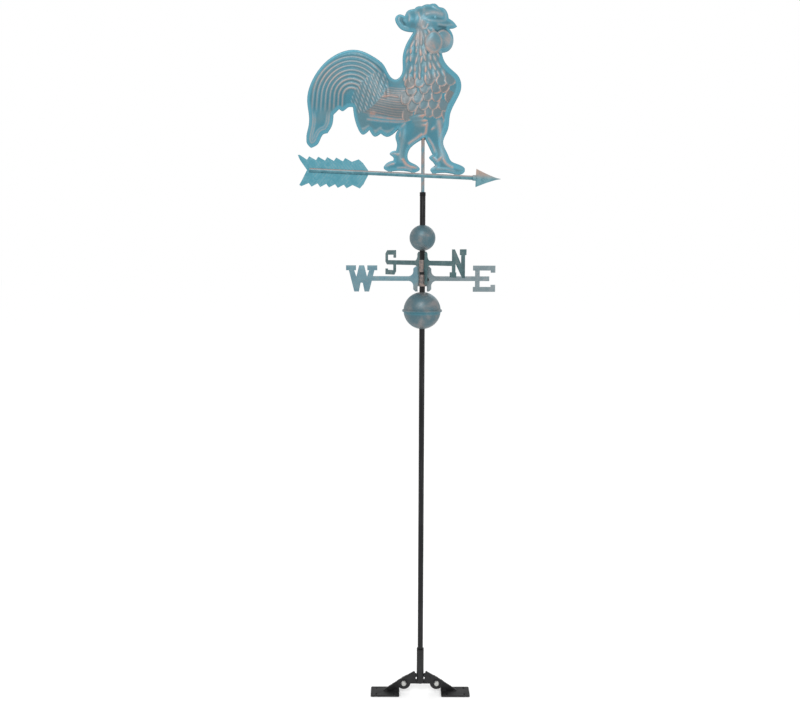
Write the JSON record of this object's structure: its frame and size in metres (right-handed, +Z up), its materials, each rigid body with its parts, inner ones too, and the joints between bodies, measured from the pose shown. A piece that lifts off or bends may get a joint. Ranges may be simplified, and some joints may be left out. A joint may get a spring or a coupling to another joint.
{
  "type": "weather vane",
  "caption": "Rooster weather vane with arrow, compass-letter arms and balls on a sectional mast with a hinged roof mount",
  "frame": {"origin": "on the mast axis at the level of the undersides of the two feet, midway between them", "axes": "+Z up along the mast, X along the roof mount and the east-west arms, front of the rooster -Y side; the arrow points +X at rest"},
  "size_m": [0.5647, 0.3702, 1.9796],
  "materials": {
    "patina_figure": "blue-green patina over pressed copper, rubbed copper highlights",
    "patina_arrow": "blue-green patina on copper sheet and tube",
    "patina_north_south": "dark green-blue patina on cut sheet",
    "patina_east_west": "thin grey-blue patina on cut sheet",
    "patina_ball": "satin blue-grey patina with pink copper highlights",
    "hub_metal": "brushed, tarnished",
    "bearing_bronze": "turned bronze",
    "solder": "dull solder",
    "black_mast": "semi-gloss black enamel",
    "black_mount": "fine textured black powder coat",
    "black_screw": "black oxide",
    "nylon_cap": "black nylon",
    "zinc": "bright zinc plate",
    "ball_steel": "polished bearing steel",
    "spindle_steel": "steel rod with a thin copper-green stain",
    "grommet_rubber": "soft black rubber"
  },
  "bodies": {
    "mast_and_mount": {"saddle_plate": "black_mount", "socket_tube": "black_mount", "socket_welds": "black_mount", "mast_set_screw": "black_screw", "pivot_bolts": "zinc", "pivot_washers": "black_screw", "pivot_nuts": "zinc", "mast_lower": "black_mast", "mast_middle": "black_mast", "mast_upper": "black_mast", "top_bushing": "nylon_cap", "lower_bushing": "bearing_bronze", "ball_seat": "bearing_bronze", "thrust_ball": "ball_steel", "upper_ball_top": "patina_ball", "upper_ball_bottom": "patina_ball", "upper_ball_grommets": "grommet_rubber", "lower_ball_top": "patina_ball", "lower_ball_bottom": "patina_ball", "lower_ball_grommets": "grommet_rubber"},
    "left_foot": {"left_foot_plate": "black_mount", "left_foot_web": "black_mount", "left_foot_welds": "black_mount"},
    "right_foot": {"right_foot_plate": "black_mount", "right_foot_web": "black_mount", "right_foot_welds": "black_mount"},
    "north_south": {"north_south_hub": "hub_metal", "north_south_screw": "black_screw", "north_arm": "patina_north_south", "south_arm": "patina_north_south"},
    "east_west": {"east_west_hub": "hub_metal", "east_west_screw": "black_screw", "east_arm": "patina_east_west", "west_arm": "patina_east_west"},
    "vane": {"spindle": "spindle_steel", "arrow_shaft": "patina_arrow", "tail_feathers": "patina_arrow", "head_collar": "patina_arrow", "arrow_head": "patina_arrow", "rooster_near_shell": "patina_figure", "rooster_far_shell": "patina_figure", "rooster_socket": "hub_metal", "foot_solder": "solder"}
  },
  "joints": [
    {"name": "vane_spin", "type": "hinge", "parent": "mast_and_mount", "child": "vane", "pos_m": [0, 0, 1.4], "axis": [0, 0, 1], "continuous": true},
    {"name": "north_south_turn", "type": "hinge", "parent": "mast_and_mount", "child": "north_south", "pos_m": [0, 0, 1.2655], "axis": [0, 0, 1], "range_deg": [-100, 5]},
    {"name": "east_west_turn", "type": "hinge", "parent": "mast_and_mount", "child": "east_west", "pos_m": [0, 0, 1.2245], "axis": [0, 0, 1], "range_deg": [-5, 100]},
    {"name": "left_foot_hinge", "type": "hinge", "parent": "mast_and_mount", "child": "left_foot", "pos_m": [-0.0485, 0, 0.0315], "axis": [0, -1, 0], "range_deg": [-30, 60]},
    {"name": "right_foot_hinge", "type": "hinge", "parent": "mast_and_mount", "child": "right_foot", "pos_m": [0.0485, 0, 0.0315], "axis": [0, 1, 0], "range_deg": [-30, 60]}
  ]
}
